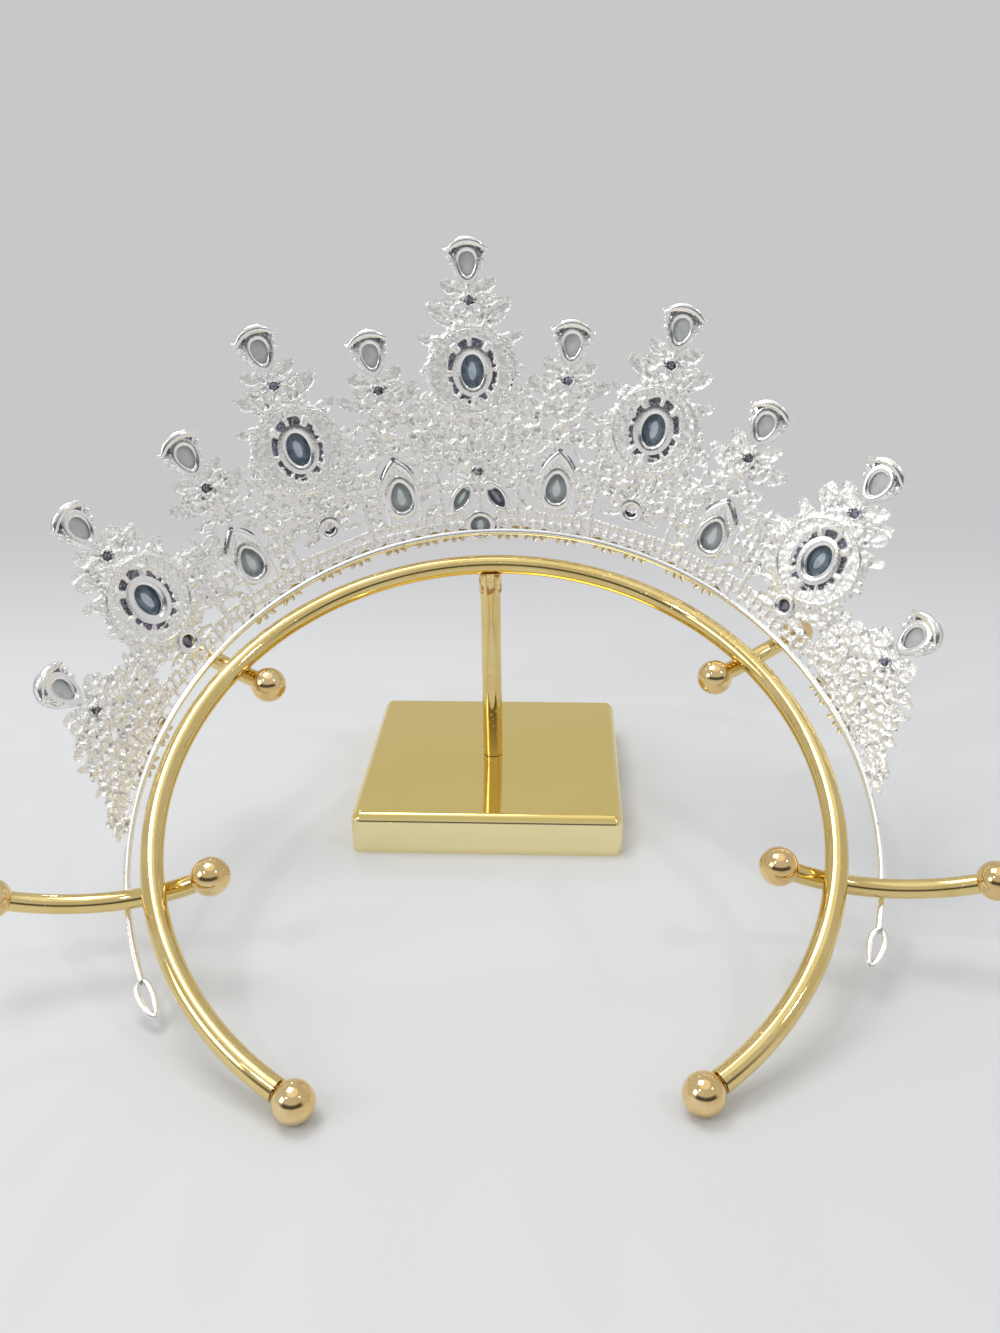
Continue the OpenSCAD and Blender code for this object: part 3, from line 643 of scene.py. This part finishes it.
def point_top(rough, smooth, dark, tip):
    """The cap over the top stone of a point, a bar under it painted dark as its shade, and the leafy neck
    below.
    """
    setting(smooth, pear, tip_size, at(0, tip), (egg, 3.7, 5.4), back=0.95)
    cap = [(-5.5, tip + 3.6, -0.2), (-4.9, tip + 3.1, -0.3)] + arc(0, tip - 0.6, 5.75, -44, 44, 12, -0.4)
    cap += [(4.9, tip + 3.1, -0.3), (5.5, tip + 3.6, -0.2)]
    swell = [0.7 + 0.4 * math.sin(math.pi * i / 12) for i in range(13)]
    bar(smooth, cap, [0.15, 0.5] + swell + [0.5, 0.15], 12)
    bar(dark, arc(0, tip - 0.3, 4.5, -46, 46, 12, -0.3), 0.42, 8)
    for side in (-1, 1):
        bead(rough, side * 4.2, tip + 1.6, -0.1, 0.8)
        bead(rough, side * 3.7, tip - 0.2, -0.2, 0.75)
    bar(rough, [(0, tip - 4, 0.2), (0, tip - 8, 0.2), (0, tip - 14, 0.2)], [0.9, 0.8, 0.9])
    for side in (-1, 1):
        leaf(rough, at(side * 1.0, tip - 7.0, 0, -side * 58), 6.9, 4.0, blunt=0.4)
        leaf(rough, at(side * 0.8, tip - 8.2, 0.1, -side * 88), 6.2, 3.2)
        leaf(rough, at(side * 1.2, tip - 12, 0, -side * 68), 10.4, 4.7, blunt=0.4)
        leaf(rough, at(side * 2.6, tip - 13, 0, -side * 35), 6.0, 3.4)
        bead(rough, side * 3.1, tip - 4.2, -0.1, 0.7)
        hoop(rough, side * 1.9, tip - 9.9, 1.25, 0.5, -0.3)
        bead(rough, side * 4.0, tip - 10.6, -0.3, 0.75)
    hoop(smooth, 0, tip - 8.1, 1.35, 0.4, -0.75)
    # A bead in the hoop's opening, painted dark as the shade behind the neck stone
    bead(dark, 0, tip - 8.1, -0.3, 1.1)
    bead(rough, 0, tip - 11.6, -0.5, 0.9)


def halo(rough, smooth, dark, middle):
    """The grainy round halo with its thin wire, slots backed by metal painted dark as shade, and the white
    collar of the oval.
    """
    wall(rough, at(0, middle), [
        (slot_line(0), 0.1), (slot_line(0), -0.45), (slot_line(0.9), -0.85), (halo_line(9.1), -0.75),
        (halo_line(10.2), -1.0), (halo_line(11.1), -0.5), (halo_line(11.3), 0.4), (halo_line(10.6), 0.85),
        (slot_line(1.2), 0.85), (slot_line(0), 0.7),
    ])
    for i in range(40):
        t = math.radians(9 * i)
        outer, inner = halo_radius - 0.2, 8.9 + 0.3 * (i * 5 % 3)
        bead(rough, *on_oval(middle, outer, outer, t), -0.25, 0.45 + 0.15 * (i * 7 % 4))
        bead(rough, *on_oval(middle, inner, inner, t), -0.75, 0.4 + 0.1 * (i * 3 % 3))
    hoop(smooth, 0, middle, 9.9, 0.2, -1.0, 48)
    collar_line = oval(9.2, 11.4, 48)
    # The back of the wall between collar and slots is painted dark as shade, and its front is smooth
    for part, back, front in ((dark, 0.0, 0.45), (smooth, 0.45, 0.85)):
        wall(part, at(0, middle), [(collar_line, back), (slot_line(0.8), back),
                                   (slot_line(0.8), front), (collar_line, front)])
    setting(smooth, oval, oval_size, at(0, middle), (oval, 5.4, 7.8), back=-0.55)
    for i in range(8):
        t = math.radians(45 * i + (4, -5, 2, 6)[i % 4])
        near, far = on_oval(middle, 4.8, 5.9, t), on_oval(middle, 6.9, 8.4, t)
        bar(rough, [(*near, -0.25), (*far, -0.3)], (0.6, 1.1, 0.8)[i % 3])
        t += math.radians(14 + 3 * (i % 3))
        if 1 < i < 7:
            bead(rough, *on_oval(middle, 5.5, 7.2, t), -0.3, 0.6)
            bead(rough, *on_oval(middle, 5.8, 6.8, t + 0.2), -0.1, 0.4)
    for turn in (-88, -48, 48, 88):
        bead(rough, *on_oval(middle, halo_radius + 0.5, halo_radius + 0.5, math.radians(turn)), 0, 0.95)


def under_halo(rough, casting):
    """The stem and the fan of leaves between a lower stone and the halo, and the leaves on top of it."""
    centre = casting.kind == "centre"
    foot = casting.low + (15.0 if centre else 1.9)
    length = casting.halo - halo_radius + 1.9 - foot
    if length > 3:
        fan(rough, foot, 1.12 * length, 60 if centre else 64, 7 if centre else 5)
    bar(rough, [(0, casting.low + 3.6, 0), (0, foot + 1, 0)], 0.6)
    for side in (-1, 1):
        leaf(rough, at(side * 3.5, casting.halo + 10.2, 0, -side * 48), 8.6, 4.2, blunt=0.4)
        leaf(rough, at(side * 8.6, casting.halo + 6.6, 0, -side * 62), 4.8, 3.0)


def centre_foot(rough, smooth, dark, low):
    """The round stone and the two leaning marquise stones at the foot of the centre casting."""
    setting(smooth, oval, (round_dia, round_dia), at(0, low), (oval, 4.7, 4.7), back=0.2)
    for side in (-1, 1):
        setting(smooth, marquise, marquise_size, marquise_at(side), (marquise, 2.9, 6.6), back=0.1)
        leaf(rough, at(0, low + 8.1, 0, -side * 50), 7.6, 2.6)
        leaf(rough, at(side * 3.9, low - 0.4, 0, -side * 8), 3.8, 1.7)
        leaf(rough, at(side * 6.5, 9.6, 0, -side * 80), 4.2, 1.8)
    hoop(smooth, 0, low + 13.5, 1.5, 0.5)
    # A bead in the hoop's opening, painted dark as shade
    bead(dark, 0, low + 13.5, 0.3, 1.2)


def large_foot(rough, smooth, low):
    """The small round stone under the halo of a large casting, on its four leaves."""
    setting(smooth, oval, (small_dia, small_dia), at(0, low), (oval, 2.9, 2.9), back=0.2)
    for side in (-1, 1):
        leaf(rough, at(side * 1.6, low, 0, -side * 62), 8.0, 3.1)
        leaf(rough, at(side * 1.6, low - 0.6, 0, -side * 105), 6.6, 2.4)


def small_work(rough, smooth, dark, casting):
    """The pear stone of a small casting in its pointed arch, and the beaded stem above it."""
    low, arch_top = casting.low, 25.04
    setting(smooth, pear, low_size, low_pear_at(casting), (egg, 5.0, 7.2), back=0.35)
    shares = [i / 10 for i in range(11)]
    for side in (-1, 1):
        arch = [(side * 4.1 * (1 - s ** 2.6), low - 0.6 + 9.3 * s ** 0.9, 0) for s in shares]
        bar(smooth, [(side * 3.9, 3.9, 0)] + arch, [0.5] + [0.6 + 0.6 * s for s in shares], 10)
        shade = [(side * 4.6 * (1 - s ** 3.0), low - 0.6 + 10.1 * s ** 0.86, -0.3) for s in shares[5:]]
        bar(dark, shade, 0.3, 8)
        for i in range(5):
            bead(rough, side * (4.1 - 0.75 * i), low + 2.2 + 1.1 * i, -0.2, 0.75)
        leaf(rough, at(side * 5.0, 4.2, 0, -side * 52), 4.6, 2.2)
        leaf(rough, at(side * 5.0, low + 0.5, 0, -side * 75), 4.0, 2.0)
        bead(rough, side * 6.0, 4.6, 0, 0.8)
    hoop(rough, 0, arch_top - 1.6, 2.5, 0.65)
    for side in (-1, 1):
        leaf(rough, at(0, arch_top - 3, 0, -side * 75), 8.1, 3.2)
        leaf(rough, at(0, arch_top + 2, 0, -side * 42), 7.8, 3.4, blunt=0.4)
    bar(rough, [(0, arch_top, 0.2), (0, casting.tip - 10, 0.2)], 0.9)
    for step in range(4):
        y = arch_top + 1.5 + step * (casting.tip - 12 - arch_top) / 4
        bead(rough, 0.5 * (-1) ** step, y, -0.4, 0.95)


def foliage(bm, seed, casting, half, lace, side):
    """Cast leaves, hoops and beads from a point to its seam, joined by thin bent stems."""
    chance = random.Random(seed)
    low, high, join = lace
    rows = max(2, round((high - low) / 3.6))
    knots = {}
    for r in range(rows + 1):
        for c in range(4):
            share = c / 3
            top = join + (high - join) * share - 1.2 * math.sin(math.pi * share)
            y = low + (top - low) * r / rows
            x = flank(casting, y) + (seam_x(half, y) - flank(casting, y)) * share
            if c < 3:
                x += chance.uniform(-0.6, 0.6)
                y += chance.uniform(-0.7, 0.7)
            knots[c, r] = (side * x, y, chance.uniform(-0.25, 0.2))
    for (c, r), (x, y, z) in knots.items():
        for other in ((c + 1, r), (c, r + 1)):
            if other in knots and chance.random() < 0.85:
                ox, oy, oz = knots[other]
                bend = chance.uniform(-1.2, 1.2)
                middle = ((x + ox) / 2 + bend * (oy - y) * 0.25,
                          (y + oy) / 2 - bend * (ox - x) * 0.25, (z + oz) / 2)
                bar(bm, [(x, y, z), middle, (ox, oy, oz)], [0.6, chance.uniform(0.42, 0.6), 0.6], 6)
        edge_leaf = r == rows and c < 3
        what = chance.random()
        if edge_leaf or what < 0.62:
            if edge_leaf:
                turn = -side * chance.uniform(-30, 60)
            else:
                turn = chance.choice((-1, 1)) * chance.uniform(20, 140)
            leaf(bm, at(x, y - 0.8, z, turn), chance.uniform(3.4, 4.8), chance.uniform(2.0, 2.7),
                 thick=1.2, rim=0.34, hollow=0.5)
        elif what < 0.8:
            hoop(bm, x, y, chance.uniform(1.0, 1.35), 0.45, z)
        else:
            bead(bm, x, y, z - 0.2, chance.uniform(0.8, 1.1))
        if chance.random() < 0.5:
            bead(bm, x + chance.uniform(-1.3, 1.3), y + chance.uniform(-1.3, 1.3), -0.5,
                 chance.uniform(0.4, 0.6))


def sprig(bm, chance, foot, top):
    """A thin bent stem with pairs of small leaves along it and one at its end."""
    run, root = Vector(top) - Vector(foot), Vector(foot)
    lean = math.degrees(math.atan2(run.x, run.y))
    bow = Vector((run.y, -run.x)) * chance.uniform(-0.12, 0.12)
    stem = [root + run * share + bow * math.sin(math.pi * share) for share in (0, 0.25, 0.5, 0.75, 1)]
    bar(bm, [(p.x, p.y, chance.uniform(-0.2, 0.2)) for p in stem], [0.65, 0.6, 0.55, 0.5, 0.45], 6)
    pairs = max(1, round(run.length / 3.6))
    for i in range(pairs + 1):
        p = root + run * (i + 0.3) / (pairs + 0.5)
        for side in (-1, 1):
            leaf(bm, at(p.x, p.y, chance.uniform(-0.5, 0.3), -lean - side * chance.uniform(32, 78)),
                 chance.uniform(3.4, 4.8), chance.uniform(1.9, 2.8),
                 thick=1.2, rim=0.34, hollow=0.55, blunt=0.4)
        bead(bm, p.x, p.y, -0.6, chance.uniform(0.45, 0.85))
    leaf(bm, at(top[0], top[1] - 1.8, 0, -lean + chance.uniform(-20, 20)), 3.6, 2.3,
         thick=1.2, rim=0.34, hollow=0.5)


def rail(rough, warm, casting):
    """The grainy openwork band along the foot, roped above, with leafy drops below the wire."""
    low, high = wire_place + 1.5, rail_height - 0.5
    left, right = -seam_x(casting.before, 1), seam_x(casting.after, 1)
    open_half = 3.7 if casting.kind == "centre" else 0  # the place behind the round stone
    for start, end in ((left, -open_half), (open_half, right)):
        bar(rough, [(start, high, 0), (end, high, 0)], 0.36, 6)
        bar(rough, [(start, low, 0), (end, low, 0)], 0.4, 6)
    count = round((right - left) / 1.15)
    step = (right - left) / count
    for i in range(count + 1):
        x = left + step * i
        if abs(x) < open_half:
            continue
        bead(rough, x, high + 0.06 * (-1) ** i, -0.2, 0.5)
        if i % 2 and i < count:
            hoop(rough, x, 2.5, 0.92, 0.36)
        if i % 2 == 0:
            bead(rough, x, 1.5, -0.35, 0.52)
            bead(rough, x, 3.0, -0.3, 0.4)
        if i % 3 == 1:
            bar(rough, [(x, low, 0), (x + 0.4, wire_place - 0.3, 0.1)], 0.55, 6)
    # The drops are silver painted gold in patches, a painted reflection of the ring below
    out = DROPS.get(casting.name)
    for x in (-out, out) if out else ():
        for i in range(5):
            place = at(x + 0.5 * (i - 2), wire_place + 0.5, 0.1 * (-1) ** i, 180 + 38 * (i - 2))
            leaf(warm, place, 3.0 + 0.4 * (i % 2), 1.5, thick=0.9, rim=0.3, hollow=0.3)
        for side in (-1, 1):
            bar(warm, arc(x + side * 3.3, wire_place + 0.2, 1.3, 90, 270, 8, 0.1), 0.36, 6)
            bead(warm, x + side * 2.3, wire_place - 1.4, 0.1, 0.5)


def smoothed(bm, factor):
    bmesh.ops.smooth_vert(bm, verts=bm.verts, factor=factor,
                          use_axis_x=True, use_axis_y=True, use_axis_z=True)


def melted(rough, voxel=0.28):
    """Runs leaves, stems and beads together into one skin, as they are cast in one piece."""
    bmesh.ops.recalc_face_normals(rough, faces=rough.faces)
    lump = bpy.data.meshes.new("lump")
    rough.to_mesh(lump)
    rough.free()
    holder = link("lump", lump)
    fuse = holder.modifiers.new("fuse", "REMESH")
    fuse.mode = "VOXEL"
    fuse.voxel_size = voxel
    skin = bpy.data.meshes.new_from_object(holder.evaluated_get(bpy.context.evaluated_depsgraph_get()))
    bpy.data.objects.remove(holder)
    return skin


def mark_hollows(mesh, full_depth=0.2):
    """Stores how deep each point lies below the smoothed surface, from 0 to 1, for the shade painted into
    the hollows.
    """
    bm = bmesh.new()
    bm.from_mesh(mesh)
    worn = bm.copy()
    for _ in range(8):
        smoothed(worn, 0.5)
    layer = bm.verts.layers.float.new("hollow")
    for vert, level in zip(bm.verts, worn.verts):
        vert[layer] = min(1.0, max(0.0, (level.co - vert.co).dot(vert.normal) / full_depth))
    bm.to_mesh(mesh)
    bm.free()
    worn.free()


# How far the cast surface strays from the pattern, with a seed that keeps each casting as it is
unevenness = 0.16
noise.seed_set(7)

for row, casting in enumerate(CASTINGS):
    rough, smooth, dark, warm = bmesh.new(), bmesh.new(), bmesh.new(), bmesh.new()
    if casting.tip:
        point_top(rough, smooth, dark, casting.tip)
    rail(rough, warm, casting)
    if casting.halo:
        halo(rough, smooth, dark, casting.halo)
        under_halo(rough, casting)
    if casting.kind == "centre":
        centre_foot(rough, smooth, dark, casting.low)
    if casting.kind == "large":
        large_foot(rough, smooth, casting.low)
    if casting.kind == "small":
        small_work(rough, smooth, dark, casting)
    chance = random.Random(50 + row)
    for foot, top in SPRIGS.get(casting.kind, ()):
        sprig(rough, chance, foot, top)
    for side, half, seam, seed in (
        (1, casting.after, row, 10), (-1, casting.before, max(row - 1, 0), 30),
    ):
        if seam < len(SEAM_LACE):
            foliage(rough, seed + row, casting, half, SEAM_LACE[seam], side)
            bar(rough, [(side * seam_x(half, 2), 2, 0), (side * seam_x(half, 14), 14, 0)], 0.8)

    skin = melted(rough)
    mark_hollows(skin)
    crisp = []
    for number, part in ((1, smooth), (2, dark), (3, warm)):
        bmesh.ops.recalc_face_normals(part, faces=part.faces)
        for face in part.faces:
            face.material_index = number
        crisp.append(bpy.data.meshes.new("crisp"))
        part.to_mesh(crisp[-1])
        part.free()
    for side, end in sides_of(casting):
        bm = bmesh.new()
        bm.from_mesh(skin)
        for vert in bm.verts:
            vert.co += noise.noise_vector(vert.co * 0.9 + Vector((7 * row, 3 * side, 0))) * unevenness
        smoothed(bm, 0.4)
        for part in crisp:
            bm.from_mesh(part)
        finished("casting_" + casting.name + end, bm, casting_frame(casting, side),
                 [cast_silver, bright_silver, dark_recess, warm_silver],
                 "silver_plate", "silver_frame", soft_angle=0.9)


# The stones: clear cut crystal with silvered foil behind it, set from the front. From behind,
# the top stones show flat pale foil, the ovals dark slate with a lighter point that is a painted
# reflection, and the others grey or violet.

crown, pavilion = 1.5, 1.5
accent_dia, collar_half, slot_outer = 2.4, 5.09, 8.2


def stone_finish(name, deep, bright, **fixed):
    """Crystal or foil, cloudy from a deep to a bright colour."""
    material, shader, place = new_finish(name, Coat_Roughness=0.02, **fixed)
    place.grain(0.0021).ramp(0.38, 0.62).between((*deep, 1), (*bright, 1)).into(shader["Base Color"])
    return material


def foil_finish(name, deep, bright):
    return stone_finish(name, deep, bright, Roughness=0.25, Coat_Weight=0.4, Metallic=0.0)


crystal = stone_finish("clear_crystal", (0.62, 0.68, 0.76), (0.9, 0.93, 0.96),
                       Roughness=0.05, Coat_Weight=1.0, Metallic=0.6)
# The foil on the back of each kind of stone and on its point, both with a deep and a bright colour.
# The lighter point of the slate stones is a painted reflection.
finishes = {}
for name, back_deep, back_bright, point_deep, point_bright in (
    ("pale", (0.52, 0.54, 0.55), (0.60, 0.62, 0.63), (0.54, 0.56, 0.57), (0.62, 0.64, 0.65)),
    ("slate", (0.115, 0.17, 0.235), (0.23, 0.30, 0.37), (0.36, 0.43, 0.50), (0.52, 0.59, 0.66)),
    ("grey", (0.45, 0.50, 0.53), (0.57, 0.61, 0.63), (0.60, 0.65, 0.67), (0.70, 0.74, 0.75)),
    ("violet", (0.21, 0.20, 0.26), (0.34, 0.33, 0.41), (0.20, 0.19, 0.26), (0.36, 0.34, 0.43)),
):
    finishes[name] = [crystal, foil_finish(name + "_foil", back_deep, back_bright),
                      foil_finish(name + "_point", point_deep, point_bright)]


def cut_stone(bm, points, place, girdle=stone_gap + pavilion, point=(0.26, 0.46), deep=pavilion):
    """A stone with a table, two rows of crown facets, and a pavilion down to a small flat point."""
    # Each level: its share of the outline, its height and the number of the finish below it
    levels = [(0.72, girdle - 0.42 * deep, 1), (0.97, girdle - 0.1, 1), (1, girdle, 0),
              (0.84, girdle + 0.55 * crown, 0), (0.58, girdle + crown, 0)]
    verts, edges = outline(bm, [(x * point[0], y * point[1]) for x, y in points], place, girdle - deep)
    bmesh.ops.contextual_create(bm, geom=edges)["faces"][0].material_index = 2
    for share, z, number in levels:
        level = [(x * share, y * share) for x, y in points]
        verts, edges, faces = drawn_on(bm, verts, edges, level, place, z)
        for face in faces:
            face.material_index = number
    bmesh.ops.contextual_create(bm, geom=edges)


def set_stone(name, casting, side, points, place, kind, **cut):
    """Cuts one stone in its setting, in place of the solid of the same name."""
    bm = bmesh.new()
    cut_stone(bm, points, place, **cut)
    finished("cut_" + name, bm, casting_frame(casting, side), finishes[kind], "crystal", name,
             soft_angle=0.05)


set_castings = CASTINGS[:6]
for casting in set_castings:
    for side, end in sides_of(casting):
        short = casting.name.split("_")[0] + end
        set_stone("tip_stone_" + casting.name + end, casting, side, pear(*tip_size, 16), at(0, casting.tip),
                  "pale", point=(0.7, 0.7))
        if casting.kind == "small":
            set_stone("low_pear_" + short, casting, side, pear(*low_size, 16), low_pear_at(casting), "grey")
        if casting.kind == "large":
            set_stone("oval_stone_" + short, casting, side, oval(*oval_size, 16),
                      at(0, casting.halo), "slate")
            set_stone("small_stone_" + short, casting, side, oval(small_dia, small_dia, 12),
                      at(0, casting.low), "violet")
centre = CASTINGS[0]
set_stone("oval_stone_centre", centre, 1, oval(*oval_size, 16), at(0, centre.halo), "slate")
set_stone("round_stone", centre, 1, oval(round_dia, round_dia, 16), at(0, centre.low), "grey")
set_stone("marquise_left", centre, 1, marquise(*marquise_size, 16), marquise_at(1), "grey")
set_stone("marquise_right", centre, 1, marquise(*marquise_size, 16), marquise_at(-1), "violet")

# The accent stones: one on each neck, and eight round each halo between collar and rim
bm = bmesh.new()
for casting in set_castings:
    spots = [] if casting.kind == "end" else [(0, casting.tip - 0.88 * tip_size[1])]
    for i in range(8 if casting.halo else 0):
        t = math.radians(45 * i + 22.5)
        near_ends = abs(math.cos(t)) > math.cos(math.pi / 4)
        inner = collar_half * (oval_size[1] / oval_size[0] if near_ends else 1.05)
        spots.append(on_oval(casting.halo, (slot_outer + inner) / 2, (slot_outer + inner) / 2, t))
    for side, _ in sides_of(casting):
        for x, y in spots:
            cut_stone(bm, oval(accent_dia, accent_dia, 10), casting_frame(casting, side) @ at(x, y),
                      girdle=1.25, point=(0.5, 0.5), deep=0.33)
finished("cut_accent_stones", bm, Matrix(), finishes["violet"], "crystal", "accent_stones", soft_angle=0.05)
